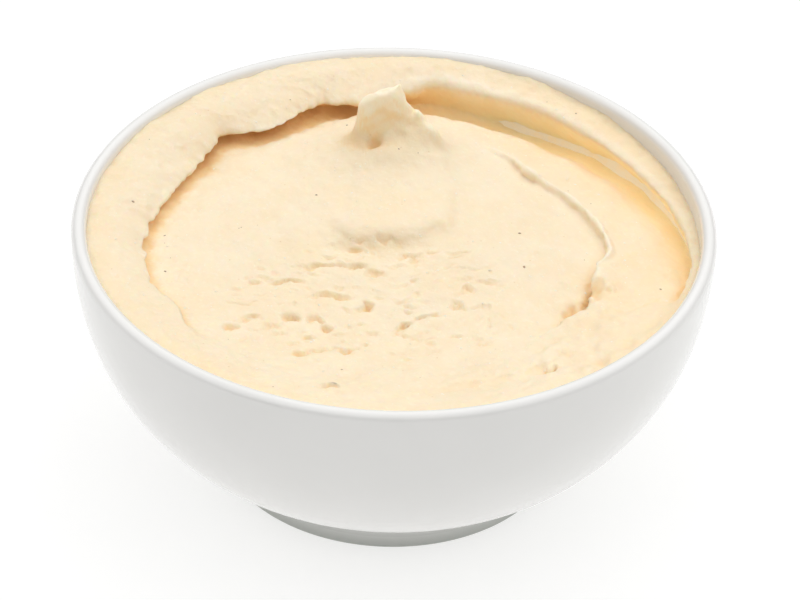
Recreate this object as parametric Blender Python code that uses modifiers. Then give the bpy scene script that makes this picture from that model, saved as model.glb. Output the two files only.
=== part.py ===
"""A small white porcelain bowl full of hummus, swirled with a spoon and drawn up to a peak.

Metres, +Z up. The origin is the middle of the foot ring's flat bottom. +X is to the right and
-Y is the near side. The near side of the hummus is level with the rim, its left and far sides
end in an overhanging lip, and a deep spoon channel runs along the right wall.
"""

import bpy
import numpy as np

MM = 0.001

# The bowl, in millimetres.
RIM_RADIUS = 60.0
WALL = 2.8
LIP_ROUND = WALL / 2
LIP_HEIGHT = 52.45
WIDEST_Z = LIP_HEIGHT - LIP_ROUND
BELLY_DEPTH = 52.1
BELLY_POWER = 2.24
INSIDE_RADIUS = RIM_RADIUS - WALL
INSIDE_FLOOR_Z = 6.2
INSIDE_DEPTH = WIDEST_Z - INSIDE_FLOOR_Z
INSIDE_POWER = 2.45
FOOT_RADIUS = 33.5
FOOT_NECK_RADIUS = 33.0
FOOT_NECK_Z = 5.3
FOOT_RING_WIDTH = 3.6
FOOT_RECESS = 2.4
FOOT_ROUND = 0.5
NECK_DROP = 0.4
RECESS_SLOPE = 0.6
BELLY_SPACING = 0.85
BOWL_SEGMENTS = 68

# The hummus, in millimetres. Gap is what the two meshes keep between them, and film is how thin
# the smear on the wall gets. It thins out to nothing over the edge share of the section.
GAP = 0.35
FILM = 0.9
EDGE_SHARE = 0.025
MIDDLE_HEIGHT = 50.2
RINGS = 27
SIDE_RINGS = 4
SIDE_START = 0.16
SIDE_DROP = 2.0
PROFILE_STEPS = 160
DIRECTIONS = 240
SECTORS = 6

# The radial section of the swirl passes through five named points and then meets the wall.
# Each gives its (radius, height) at some angles round the bowl, in degrees from +X towards +Y.
SHOULDER = {
    1: (46.2, 45.2), 12: (44.6, 45.3), 23: (42.8, 45.4), 33: (41.4, 45.6), 42: (40.6, 45.8),
    51: (40.4, 46.1), 61: (41.4, 46.2), 75: (42, 46.4), 85: (42.4, 46.6), 95: (41.6, 46.8),
    110: (38, 47.2), 130: (36, 47.3), 160: (36, 47.4), 200: (36, 47.4), 235: (32, 47),
    270: (30, 46.7), 300: (32, 46.6), 325: (40, 46.4), 345: (49, 46),
}
FOOT = {
    0: (54.6, 42.2), 8: (54.2, 41.7), 20: (53.2, 41.4), 33: (53, 41), 45: (52.2, 40.6),
    55: (51, 40), 66: (50.4, 40.4), 78: (49.6, 41.8), 90: (47.8, 42.8), 99: (46, 44),
    110: (45.4, 45), 121: (42.9, 45.6), 131: (43.2, 45.8), 138: (46.9, 45.8), 150: (43.4, 46.3),
    165: (43.6, 46.5), 180: (45.4, 46.7), 195: (46.4, 46.9), 207: (46.4, 47.2), 218: (46, 47.8),
    235: (45, 48.2), 270: (46, 48.4), 300: (47, 48.2), 325: (48, 47.7), 340: (51, 46.8),
    350: (54.4, 44.8),
}
HOLLOW = {
    0: (57.4, 41.2), 12: (57.4, 40.2), 23: (57.4, 39.8), 45: (57.3, 39.4), 58: (57, 38.8),
    70: (56, 39.8), 82: (54.6, 42), 90: (51.8, 43.4), 99: (49.4, 45), 110: (48.8, 46.1),
    121: (46.6, 46.6), 131: (46.8, 46.8), 138: (49, 47), 150: (45.6, 47.2), 165: (45.4, 47.3),
    180: (47, 47.5), 195: (48, 47.7), 207: (48.2, 48), 218: (48, 48.6), 235: (48, 49),
    270: (49, 49.1), 300: (50, 48.9), 325: (51, 48.3), 340: (53.6, 47.4), 350: (56.8, 43.8),
}
NOSE = {
    0: (55.4, 46.6), 11: (54.2, 47), 20: (52.6, 47.4), 28: (51.6, 47.8), 42: (50.8, 48.2),
    54: (50.8, 48.7), 65: (50.4, 48.9), 72: (50.2, 48.9), 77: (50.8, 49), 80.5: (51.2, 49.1),
    83.5: (50.4, 49), 86: (48.6, 48.8), 89: (47.8, 48.7), 93: (46.4, 48.5), 99: (44.8, 48.3),
    107: (45.9, 48.4), 112: (45.2, 48.4), 116: (43.7, 48.4), 121: (42.3, 48.4),
    128: (42.7, 48.4), 133: (43.8, 48.5), 137: (46.8, 48.6), 141: (45.2, 48.5),
    146: (43.7, 48.4), 155: (43.5, 48.5), 166: (43.9, 48.5), 175: (45.1, 48.6),
    182: (46.1, 48.6), 192: (46.9, 48.7), 203: (47.4, 48.8), 211: (46, 49), 222: (48.5, 49.4),
    235: (50, 49.6), 270: (51.5, 49.7), 300: (52.3, 49.4), 325: (53.3, 48.7), 345: (55, 47.6),
}
CROWN = {
    0: (56, 47.2), 12: (56.1, 47.8), 27: (55.6, 48.6), 46: (55.4, 49.7), 60: (55.3, 50.3),
    75: (55, 50.9), 90: (53.4, 51.7), 110: (51.8, 52), 130: (51, 52), 150: (51, 51.7),
    180: (52, 51.2), 210: (53.3, 50.9), 240: (54.5, 50.4), 270: (55, 50.2), 300: (55.3, 49.8),
    330: (55.6, 49), 345: (55.9, 48),
}
EDGE_HEIGHT = {
    0: 47.5, 12: 47.9, 27: 48.3, 46: 50.2, 60: 50.9, 75: 51.2, 90: 51.3, 110: 51.2, 130: 51,
    150: 50.8, 180: 50.6, 210: 50.4, 240: 50, 270: 49.9, 300: 49.3, 330: 48.4, 345: 47.8,
}

# Ledges: a lip that stands over a hollow along a line, given by its distance from a centre.
# Each step has its width, the length over which it fades, and its lean over the low side.
FOLD_RADIUS = {
    315: 38.7, 322: 39, 326: 40.4, 330: 41, 333: 40.6, 336: 40, 341: 39.2, 345: 38.6, 349: 38.4,
    354: 39.8, 1: 39.6, 12: 37.8, 23: 35.8, 33: 33.9, 41: 33.5, 52: 34.4, 65: 35,
}
FOLD_HEIGHT = {
    312: 0, 319: 2, 326: 4.6, 334: 5.2, 342: 5, 350: 3.6, 356: 2.2, 5: 1.5, 20: 1.1, 33: 0.9,
    39: 1.7, 45: 1.6, 52: 0.8, 62: 0, 90: 0, 270: 0,
}
FOLD_STEP = (2.8, 5.0, 0.35)
DISC_CENTRE = (0.0, 13.0)
DISC_RADIUS = {
    12: 10.9, 44: 12.9, 90: 14, 150: 15, 200: 16, 227: 17.5, 239: 18.2, 255: 17.4, 270: 16.4,
    288: 15.7, 304: 15.3, 309: 15.9, 320: 14.2, 332: 12.8,
}
DISC_HEIGHT = {
    0: 0.9, 40: 0.6, 75: 0, 150: 0.2, 200: 0.6, 225: 1.4, 240: 3.8, 270: 4, 300: 3.2, 330: 1.6,
}
DISC_STEP = (4.6, 7.0, 0.05)

# The peak: skirt, tower, tip, two ribs that run down to the right, and the cave at its foot.
# Each mound has its offset from the peak's middle, half sizes, turn in degrees, steepness,
# height, and the lean of its top.
PEAK = (-0.6, 28.0)
PEAK_PARTS = (
    ((0.4, -1.6), (8.8, 7.4), 0, 3.0, 4.8, (0.0, 0.0)),
    ((-2.6, 0.2), (4.3, 3.2), 0, 6.0, 8.4, (0.0, -0.4)),
    ((0.0, 0.0), (2.5, 2.3), 0, 4.0, 1.9, (0.6, -0.5)),
    ((3.0, -0.4), (2.6, 2.4), -20, 4.0, 3.2, (0.0, -0.3)),
    ((6.4, -1.2), (3.0, 2.4), -24, 4.0, 2.4, (0.0, -0.2)),
    ((-3.4, -4.3), (1.6, 1.0), 6, 4.0, -2.2, (0.0, 0.3)),
)
PEAK_ANGLE = np.pi / 2
PEAK_CROWDING = 0.45

WHITE_PORCELAIN = (0.86, 0.86, 0.85, 1.0)
HUMMUS_CREAM = (0.93, 0.76, 0.50, 1.0)


def clear_scene():
    for obj in list(bpy.data.objects):
        bpy.data.objects.remove(obj, do_unlink=True)


def material(name, colour, roughness):
    made = bpy.data.materials.new(name)
    made.use_nodes = True
    shader = made.node_tree.nodes["Principled BSDF"]
    shader.inputs["Base Color"].default_value = colour
    shader.inputs["Roughness"].default_value = roughness
    shader.inputs["Metallic"].default_value = 0.0
    return made


def superellipse(radius, depth, power, height):
    """Radius of a bowl's wall at a height, from its widest radius at WIDEST_Z downwards."""
    down = np.clip((WIDEST_Z - height) / depth, 0.0, 1.0)
    return radius * (1 - down**power) ** (1 / power)


def arc(centre_r, centre_z, radius, start, end, steps):
    """Points (radius, height) along an arc, with angles in degrees from the outward direction."""
    turn = np.radians(np.linspace(start, end, steps + 1))
    return [(centre_r + radius * np.cos(a), centre_z + radius * np.sin(a)) for a in turn]


def bowl_profile():
    """The half section, from the middle of the inside floor over the lip to the recess."""
    lean = np.linspace(0, np.pi / 2, 11)
    inside = [
        (
            INSIDE_RADIUS * np.sin(a) ** (2 / INSIDE_POWER),
            WIDEST_Z - INSIDE_DEPTH * np.cos(a) ** (2 / INSIDE_POWER),
        )
        for a in lean[:-1]
    ]
    lip = arc(RIM_RADIUS - LIP_ROUND, WIDEST_Z, LIP_ROUND, 180, 0, 5)
    heights = WIDEST_Z + (FOOT_NECK_Z - WIDEST_Z) * np.linspace(0, 1, 9)[1:] ** BELLY_SPACING
    belly = [(superellipse(RIM_RADIUS, BELLY_DEPTH, BELLY_POWER, z), z) for z in heights]
    inner_foot = FOOT_RADIUS - FOOT_RING_WIDTH
    foot = [
        (FOOT_NECK_RADIUS, FOOT_NECK_Z - NECK_DROP),
        *arc(FOOT_RADIUS - FOOT_ROUND, FOOT_ROUND, FOOT_ROUND, 0, -90, 2),
        (inner_foot, 0.0),
        (inner_foot - RECESS_SLOPE, FOOT_RECESS),
        (0.0, FOOT_RECESS),
    ]
    return inside + lip + belly + foot


def make_bowl(home):
    points = bowl_profile()
    mesh = bpy.data.meshes.new("bowl")
    mesh.from_pydata(
        [(r * MM, 0.0, z * MM) for r, z in points], [(i, i + 1) for i in range(len(points) - 1)], []
    )
    bowl = bpy.data.objects.new("bowl", mesh)
    home.objects.link(bowl)
    turn = bowl.modifiers.new("turned", "SCREW")
    turn.axis = "Z"
    turn.angle = 2 * np.pi
    turn.steps = BOWL_SEGMENTS
    turn.render_steps = BOWL_SEGMENTS
    turn.use_merge_vertices = True
    turn.merge_threshold = 0.00001
    turn.use_smooth_shade = True
    mesh.materials.append(material("white porcelain", WHITE_PORCELAIN, 0.12))


def round_the_bowl(angle, keys):
    """A value that changes smoothly with the angle: a cubic through the keys, closed on itself."""
    degrees = np.array(sorted(keys), dtype=float)
    values = np.array([keys[d] for d in sorted(keys)], dtype=float)
    knots = np.concatenate([degrees[-2:] - 360, degrees, degrees[:2] + 360])
    heights = np.concatenate([values[-2:], values, values[:2]])
    slopes = np.gradient(heights, knots, axis=0)
    turn = np.degrees(angle) % 360
    left = np.searchsorted(knots, turn, side="right") - 1
    span = knots[left + 1] - knots[left]
    t = (turn - knots[left]) / span
    if values.ndim > 1:
        t, span = t[..., None], span[..., None]
    rise = heights[left + 1] - heights[left]
    ease = t * t * (3 - 2 * t)
    return (
        heights[left]
        + rise * ease
        + span * slopes[left] * t * (1 - t) ** 2
        - span * slopes[left + 1] * t * t * (1 - t)
    )


def inside_wall(height):
    """Radius of the bowl's inner wall."""
    return superellipse(INSIDE_RADIUS, INSIDE_DEPTH, INSIDE_POWER, height)


def section_points(angle):
    """The named points of the section at each angle, from the middle to the wall."""
    edge_height = round_the_bowl(angle, EDGE_HEIGHT)
    middle = np.stack([np.zeros_like(angle), np.full_like(angle, MIDDLE_HEIGHT)], axis=-1)
    edge = np.stack([inside_wall(edge_height) - GAP, edge_height], axis=-1)
    named = [round_the_bowl(angle, keys) for keys in (SHOULDER, FOOT, HOLLOW, NOSE, CROWN)]
    return np.stack([middle, *named, edge], axis=-2)


def section(angle, share):
    """Radius and height at a share of the way along the section: a Catmull-Rom curve.

    Each span between two named points takes a part of the share in proportion to the square
    root of its length, and the slope at a point is that of the line between its neighbours.
    """
    points = section_points(angle)
    spans = np.sqrt(np.linalg.norm(np.diff(points, axis=-2), axis=-1))
    knots = np.concatenate([np.zeros((*angle.shape, 1)), np.cumsum(spans, axis=-1)], axis=-1)
    knots = knots / knots[..., -1:]
    slopes = np.empty_like(points)
    slopes[..., 1:-1, :] = (points[..., 2:, :] - points[..., :-2, :]) / (
        knots[..., 2:, None] - knots[..., :-2, None]
    )
    slopes[..., 0, :] = (points[..., 1, :] - points[..., 0, :]) / knots[..., 1, None]
    slopes[..., 0, 1] = 0.0
    slopes[..., -1, :] = (points[..., -1, :] - points[..., -2, :]) / (
        1 - knots[..., -2, None]
    )
    left = np.clip((share[..., None] >= knots).sum(axis=-1) - 1, 0, points.shape[-2] - 2)

    def at(table, index):
        return np.take_along_axis(table, index[..., None, None], axis=-2)[..., 0, :]

    start = np.take_along_axis(knots, left[..., None], axis=-1)
    width = np.take_along_axis(knots, left[..., None] + 1, axis=-1) - start
    t = (share[..., None] - start) / width
    a, b = at(points, left), at(points, left + 1)
    return (
        a
        + (b - a) * t * t * (3 - 2 * t)
        + width * at(slopes, left) * t * (1 - t) ** 2
        - width * at(slopes, left + 1) * t * t * (1 - t)
    )


def ledge(x, y, centre, radius_keys, height_keys, outside_is_high, step_sizes):
    """Moves to add for a ledge: the high side leans over the low side along the line.

    Across the line a smooth step goes from low to high, fading out to both sides, and a sine
    of the step pushes the upper half over the lower half.
    """
    width, fade, lean_share = step_sizes
    dx, dy = x - centre[0], y - centre[1]
    distance = np.hypot(dx, dy) + 1e-9
    around = np.arctan2(dy, dx)
    strength = np.maximum(round_the_bowl(around, height_keys), 0.0)
    side = 1.0 if outside_is_high else -1.0
    across = side * (distance - round_the_bowl(around, radius_keys))
    step = 1 / (1 + np.exp(-4 * across / width))
    lift = strength * (step - 0.5) * np.exp(-np.abs(across) / fade)
    wave = np.sin(2 * np.pi * (step - 0.5)) * np.exp(-np.abs(across))
    lean = -side * lean_share * strength * wave
    return np.stack([lean * dx / distance, lean * dy / distance, lift], axis=-1)


def mound(x, y, centre, size, turn, power):
    """1 at the centre and 0 far out, with a flatter top and steeper flanks as power grows."""
    across, along = x - centre[0], y - centre[1]
    cos, sin = np.cos(np.radians(turn)), np.sin(np.radians(turn))
    reach = np.hypot((across * cos + along * sin) / size[0], (along * cos - across * sin) / size[1])
    return 1 / (1 + reach**power)


def peak(x, y):
    """Moves that the drawn-up peak adds."""
    moves = np.zeros((*x.shape, 3))
    for offset, size, turn, power, height, lean in PEAK_PARTS:
        share = mound(x, y, (PEAK[0] + offset[0], PEAK[1] + offset[1]), size, turn, power)
        moves += share[..., None] * np.array([*lean, height])
    return moves


def surface(angle, share):
    """The hummus's top as points (..., 3): the turned section, its ledges and its peak."""
    radius, height = np.moveaxis(section(angle, share), -1, 0)
    film = FILM * np.clip((1 - share) / EDGE_SHARE, 0, 1)
    radius = np.minimum(radius, inside_wall(height) - GAP - film)
    x, y = radius * np.cos(angle), radius * np.sin(angle)
    return (
        np.stack([x, y, height], axis=-1)
        + ledge(x, y, (0.0, 0.0), FOLD_RADIUS, FOLD_HEIGHT, True, FOLD_STEP)
        + ledge(x, y, DISC_CENTRE, DISC_RADIUS, DISC_HEIGHT, False, DISC_STEP)
        + peak(x, y)
    )


def even_shares(rings):
    """The share at each ring for each direction, so that the rings are evenly spaced."""
    angle = np.linspace(-np.pi, np.pi, DIRECTIONS + 1)
    share = np.linspace(0, 1, PROFILE_STEPS + 1)
    points = surface(*np.meshgrid(angle, share, indexing="ij"))
    length = np.cumsum(np.linalg.norm(np.diff(points, axis=1), axis=-1), axis=1)
    length = np.concatenate([np.zeros((len(angle), 1)), length], axis=1)
    even = np.linspace(0, 1, rings + 1)
    return np.array([np.interp(even, row / row[-1], share) for row in length])


def crowd(turn):
    """Turns that are evenly spaced, drawn together round the peak's direction."""
    return turn - PEAK_CROWDING * np.sin(turn - PEAK_ANGLE)


def disc_net(rings):
    """A net of triangles on a disc: ring i has 6 i points, so that all triangles are alike.

    Gives each point's ring and its turn in radians, and the triangles.
    """
    ring = np.repeat(np.arange(rings + 1), [1] + [SECTORS * i for i in range(1, rings + 1)])
    first = np.concatenate([[0], 1 + np.cumsum([0] + [SECTORS * i for i in range(1, rings)])])
    place = np.arange(len(ring)) - first[ring]
    turn = 2 * np.pi * place / np.maximum(SECTORS * ring, 1)
    outer = np.arange(1, rings + 1)
    i = np.repeat(outer, SECTORS * outer)
    p = np.arange(len(i)) - (first[i] - 1)
    sector, j = np.divmod(p, i)

    def point(on_ring, number):
        count = np.maximum(SECTORS * on_ring, 1)
        return first[on_ring] + number % count

    upward = np.stack(
        [point(i - 1, sector * (i - 1) + j), point(i, p), point(i, p + 1)], axis=-1
    )
    inner = j < i - 1
    a, q = i[inner], p[inner]
    back = sector[inner] * (a - 1) + j[inner]
    downward = np.stack([point(a - 1, back), point(a, q + 1), point(a - 1, back + 1)], axis=-1)
    return ring, turn, np.concatenate([upward, downward])


def side_points(edge):
    """Rings from the edge down the wall, a gap inside it, to the middle of the floor."""
    angle = np.arctan2(edge[:, 1], edge[:, 0])
    depth = WIDEST_Z - edge[:, 2]
    bottom = INSIDE_DEPTH - GAP
    rings = []
    for step in range(1, SIDE_RINGS + 1):
        lean = np.pi / 2 * (1 - SIDE_START - (1 - SIDE_START) * step / (SIDE_RINGS + 1))
        down = np.maximum(bottom * np.cos(lean) ** (2 / INSIDE_POWER), depth + SIDE_DROP * step)
        radius = superellipse(INSIDE_RADIUS - GAP, bottom, INSIDE_POWER, WIDEST_Z - down)
        rings.append(
            np.stack([radius * np.cos(angle), radius * np.sin(angle), WIDEST_Z - down], axis=-1)
        )
    return np.concatenate(rings + [[[0.0, 0.0, WIDEST_Z - bottom]]])


def side_triangles(first, around):
    """Two triangles a cell between each ring and the next, and a fan to the last point."""
    j = np.arange(around)
    k = (j + 1) % around
    faces = []
    for ring in range(SIDE_RINGS):
        upper, lower = first + ring * around, first + (ring + 1) * around
        faces.append(np.stack([upper + j, lower + j, lower + k], axis=-1))
        faces.append(np.stack([upper + j, lower + k, upper + k], axis=-1))
    last = first + SIDE_RINGS * around
    faces.append(np.stack([last + j, np.full_like(j, last + around), last + k], axis=-1))
    return np.concatenate(faces)


def make_hummus(home):
    ring, turn, top = disc_net(RINGS)
    angle = (crowd(turn) + np.pi) % (2 * np.pi) - np.pi
    table = even_shares(RINGS)
    row = (angle + np.pi) / (2 * np.pi) * DIRECTIONS
    low = np.minimum(row.astype(int), DIRECTIONS - 1)
    share = table[low, ring] + (row - low) * (table[low + 1, ring] - table[low, ring])
    points = surface(angle, share)
    around = SECTORS * RINGS
    points = np.concatenate([points, side_points(points[-around:])])
    faces = np.concatenate([top, side_triangles(len(ring) - around, around)])
    mesh = bpy.data.meshes.new("hummus")
    mesh.from_pydata((points * MM).tolist(), [], faces.tolist())
    mesh.shade_smooth()
    mesh.materials.append(material("hummus", HUMMUS_CREAM, 0.5))
    home.objects.link(bpy.data.objects.new("hummus", mesh))


def main():
    clear_scene()
    home = bpy.data.collections.new("bowl_of_hummus")
    bpy.context.scene.collection.children.link(home)
    make_bowl(home)
    make_hummus(home)


main()
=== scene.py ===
# %% [markdown]
# # A bowl of hummus
# A small white porcelain bowl holds hummus that a spoon has swirled: a raised rim of dip hangs
# over a groove on the left and at the back, a deep channel runs along the right wall, and the
# spoon left a flat print and a drawn-up peak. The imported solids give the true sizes. This file
# models the same shapes finely, adds tears, grain and flecks, and gives every surface a finish.

import bpy
import numpy as np
from mathutils import Matrix, Vector


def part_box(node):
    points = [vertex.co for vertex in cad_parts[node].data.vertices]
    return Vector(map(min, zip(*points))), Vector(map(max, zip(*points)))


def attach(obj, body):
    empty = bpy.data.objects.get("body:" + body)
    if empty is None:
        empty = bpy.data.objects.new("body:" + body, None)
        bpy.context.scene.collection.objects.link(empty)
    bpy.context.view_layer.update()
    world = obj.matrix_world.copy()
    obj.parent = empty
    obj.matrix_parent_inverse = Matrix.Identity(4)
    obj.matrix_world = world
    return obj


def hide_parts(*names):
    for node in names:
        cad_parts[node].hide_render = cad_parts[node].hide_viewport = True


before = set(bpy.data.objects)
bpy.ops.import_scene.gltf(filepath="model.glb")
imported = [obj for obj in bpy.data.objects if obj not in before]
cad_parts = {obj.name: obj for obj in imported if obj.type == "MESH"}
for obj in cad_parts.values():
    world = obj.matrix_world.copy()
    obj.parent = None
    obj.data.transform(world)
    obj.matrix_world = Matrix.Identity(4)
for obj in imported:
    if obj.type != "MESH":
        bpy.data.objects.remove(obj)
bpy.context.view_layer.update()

MM = 0.001
bowl_low, bowl_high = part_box("bowl")
RIM_RADIUS = (bowl_high.x - bowl_low.x) / 2 / MM
LIP_HEIGHT = bowl_high.z / MM
print(f"The bowl is {2 * RIM_RADIUS:.1f} mm wide and {LIP_HEIGHT:.2f} mm high.")

# %% [markdown]
# ## Camera
# The bowl is seen from a little above, as from a chair. A long lens keeps the lines nearly
# parallel, and the camera is tipped a little to one side, so the rim's right end sits lower.

# %% Camera
VIEW_RISE = np.radians(36.892)
VIEW_DISTANCE = 620.0
VIEW_CENTRE_HEIGHT = 27.62
AIM = (1.44, 2.62, 31.12)
TIP = np.radians(1.608)
LENS = 146.4

camera_data = bpy.data.cameras.new("camera")
camera_data.lens = LENS
camera_data.sensor_width = 36.0
camera_data.clip_end = 10.0
camera = bpy.data.objects.new("camera", camera_data)
bpy.context.scene.collection.objects.link(camera)
bpy.context.scene.camera = camera
camera_place = Vector(
    (
        0.0,
        -VIEW_DISTANCE * np.cos(VIEW_RISE),
        VIEW_CENTRE_HEIGHT + VIEW_DISTANCE * np.sin(VIEW_RISE),
    )
)
look = (Vector(AIM) - camera_place).to_track_quat("-Z", "Y").to_matrix().to_4x4()
camera.matrix_world = Matrix.Translation(camera_place * MM) @ look @ Matrix.Rotation(TIP, 4, "Z")
print(f"The camera stands {VIEW_DISTANCE:.0f} mm away, {np.degrees(VIEW_RISE):.0f} degrees up.")

# %% [markdown]
# ## Stage and light
# Food on white is lit by broad soft sources in a white room. A sky that is bright above and
# behind, and dimmer on the near side, gives the porcelain its soft grey front. One wide lamp
# behind the bowl, above and to the right, draws out the swirls.

# %% Floor
FLOOR_HALF = 3.0
floor_mesh = bpy.data.meshes.new("floor")
floor_corners = [(x * FLOOR_HALF, y * FLOOR_HALF, 0.0) for x, y in ((-1, -1), (1, -1), (1, 1), (-1, 1))]
floor_mesh.from_pydata(floor_corners, [], [(0, 1, 2, 3)])
floor = bpy.data.objects.new("floor", floor_mesh)
bpy.context.scene.collection.objects.link(floor)
print("The floor is a plain pale sheet.")

# %% Sky
SKY_HIGH = 1.64
SKY_LOW = 0.28
SKY_FRONT = 0.0
FRONT_WAY = Vector((-0.12, -0.98, -0.12)).normalized()
world = bpy.data.worlds.new("white_room")
bpy.context.scene.world = world
world.use_nodes = True
sky = world.node_tree
sky.nodes.clear()
sky_out = sky.nodes.new("ShaderNodeOutputWorld")
sky_light = sky.nodes.new("ShaderNodeBackground")
sky_way = sky.nodes.new("ShaderNodeTexCoord")


def sky_share(way, start, end, low, high):
    """Strength by direction: the dot product with a way, eased between two values."""
    dot = sky.nodes.new("ShaderNodeVectorMath")
    dot.operation = "DOT_PRODUCT"
    dot.inputs[1].default_value = way
    span = sky.nodes.new("ShaderNodeMapRange")
    span.interpolation_type = "SMOOTHSTEP"
    for name, value in (("From Min", start), ("From Max", end), ("To Min", low), ("To Max", high)):
        span.inputs[name].default_value = value
    sky.links.new(sky_way.outputs["Generated"], dot.inputs[0])
    sky.links.new(dot.outputs["Value"], span.inputs["Value"])
    return span.outputs["Result"]


sky_product = sky.nodes.new("ShaderNodeMath")
sky_product.operation = "MULTIPLY"
sky.links.new(sky_share((0, 0, 1), 0.2, 0.7, SKY_LOW, SKY_HIGH), sky_product.inputs[0])
sky.links.new(sky_share(FRONT_WAY, 0.4, 0.85, 1.0, SKY_FRONT), sky_product.inputs[1])
sky.links.new(sky_product.outputs["Value"], sky_light.inputs["Strength"])
sky.links.new(sky_light.outputs["Background"], sky_out.inputs["Surface"])
print(f"The sky is {SKY_HIGH} overhead and {SKY_LOW} low down.")

# %% Lamp
LAMP_PLACE = Vector((0.35, 0.45, 1.25))
LAMP_SIZE = 1.3
LAMP_POWER = 1.6
lamp_data = bpy.data.lights.new("lamp", "AREA")
lamp_data.shape = "SQUARE"
lamp_data.size = LAMP_SIZE
lamp_data.energy = LAMP_POWER
lamp = bpy.data.objects.new("lamp", lamp_data)
bpy.context.scene.collection.objects.link(lamp)
lamp_aim = (Vector((0, 0, 0.04)) - LAMP_PLACE).to_track_quat("-Z", "Y").to_matrix().to_4x4()
lamp.matrix_world = Matrix.Translation(LAMP_PLACE) @ lamp_aim
bpy.context.scene.view_settings.view_transform = "Standard"
print(f"The lamp is {LAMP_SIZE} m wide.")

# %% [markdown]
# ## From numbers to shapes
# Every piece here is one surface worked out as whole arrays of points. Two small helpers put such
# arrays into Blender: one makes a mesh object from points and faces in millimetres, the other
# gives a soft random field, which every uneven thing in food needs.


# %% Mesh from arrays
def new_piece(name, points, faces, finish):
    """A smooth mesh object at the origin. Points are in millimetres, faces are index rows."""
    mesh = bpy.data.meshes.new(name)
    corners = faces.shape[1]
    mesh.vertices.add(len(points))
    mesh.vertices.foreach_set("co", (points * MM).astype(np.float32).ravel())
    mesh.loops.add(faces.size)
    mesh.loops.foreach_set("vertex_index", faces.astype(np.int32).ravel())
    mesh.polygons.add(len(faces))
    mesh.polygons.foreach_set("loop_start", np.arange(0, faces.size, corners, dtype=np.int32))
    mesh.update(calc_edges=True)
    mesh.validate()
    mesh.shade_smooth()
    mesh.materials.append(finish)
    piece = bpy.data.objects.new(name, mesh)
    bpy.context.scene.collection.objects.link(piece)
    print(f"{name}: {len(points)} points, {len(faces)} faces")
    return piece


def add_attribute(piece, name, values):
    """A number at each point that a material can read."""
    layer = piece.data.attributes.new(name, "FLOAT", "POINT")
    layer.data.foreach_set("value", values.astype(np.float32))


# %% Soft random field
LATTICE = 97
SHIFT_BY_SEED = (0.37, 0.61)


def soft_field(x, y, size, seed):
    """Smooth random heights between -1 and 1, about size millimetres from bump to hollow.

    A square lattice of random numbers is read between its points, blended by
    6 s^5 - 15 s^4 + 10 s^3 along each side of a cell.
    """
    lattice = np.random.default_rng(seed).uniform(-1, 1, (LATTICE, LATTICE))
    u, v = x / size + SHIFT_BY_SEED[0] * seed, y / size + SHIFT_BY_SEED[1] * seed
    i, j = np.floor(u).astype(int), np.floor(v).astype(int)
    s, t = u - i, v - j
    s, t = s * s * s * (s * (6 * s - 15) + 10), t * t * t * (t * (6 * t - 15) + 10)
    i, j = i % LATTICE, j % LATTICE
    k, m = (i + 1) % LATTICE, (j + 1) % LATTICE
    low = lattice[i, j] * (1 - s) + lattice[k, j] * s
    high = lattice[i, m] * (1 - s) + lattice[k, m] * s
    return low * (1 - t) + high * t


def ease(value, low, high):
    """0 below low, 1 above high, and 3 t^2 - 2 t^3 between."""
    t = np.clip((value - low) / (high - low), 0, 1)
    return t * t * (3 - 2 * t)


patch = soft_field(*np.meshgrid(np.arange(60.0), np.arange(60.0)), 3.0, 1)
print(f"A patch of the soft field goes from {patch.min():.2f} to {patch.max():.2f}.")


# %% [markdown]
# ## The bowl
# Porcelain bowls are turned on a wheel, so the section is drawn once and swept round. Outside
# and inside are superellipses: fuller than a circle near the rim and flatter below. The lip is
# a half round as thick as the wall, and the foot ring is bare at its edge and hollow beneath.

# %% Bowl sizes
WALL = 2.8
LIP_ROUND = WALL / 2
WIDEST_Z = LIP_HEIGHT - LIP_ROUND
BELLY_DEPTH = 52.1
BELLY_POWER = 2.24
INSIDE_RADIUS = RIM_RADIUS - WALL
INSIDE_FLOOR_Z = 6.2
INSIDE_DEPTH = WIDEST_Z - INSIDE_FLOOR_Z
INSIDE_POWER = 2.45
FOOT_RADIUS = 33.5
FOOT_NECK_RADIUS = 33.0
FOOT_NECK_Z = 5.3
FOOT_RING_WIDTH = 3.6
FOOT_RECESS = 2.4
FOOT_ROUND = 0.5
NECK_ROUND = 0.35
NECK_SINK = 0.05
RECESS_ROUND = 0.8
RECESS_INSET = 1.4
BELLY_SPACING = 0.85
BOWL_SEGMENTS = 288


def superellipse(radius, depth, power, height):
    """Radius of a wall at a height: radius x (1 - (drop / depth) ^ power) ^ (1 / power)."""
    down = np.clip((WIDEST_Z - height) / depth, 0.0, 1.0)
    return radius * (1 - down**power) ** (1 / power)


def inside_wall(height):
    """Radius of the bowl's inner wall at a height."""
    return superellipse(INSIDE_RADIUS, INSIDE_DEPTH, INSIDE_POWER, height)


print(f"The inner wall is {inside_wall(40.0):.1f} mm from the middle at 40 mm height.")


# %% Bowl section
def arc(centre_r, centre_z, radius, start, end, steps):
    """Points along an arc, with angles in degrees from the outward direction."""
    turn = np.radians(np.linspace(start, end, steps + 1))
    return np.stack([centre_r + radius * np.cos(turn), centre_z + radius * np.sin(turn)], axis=-1)


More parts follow.
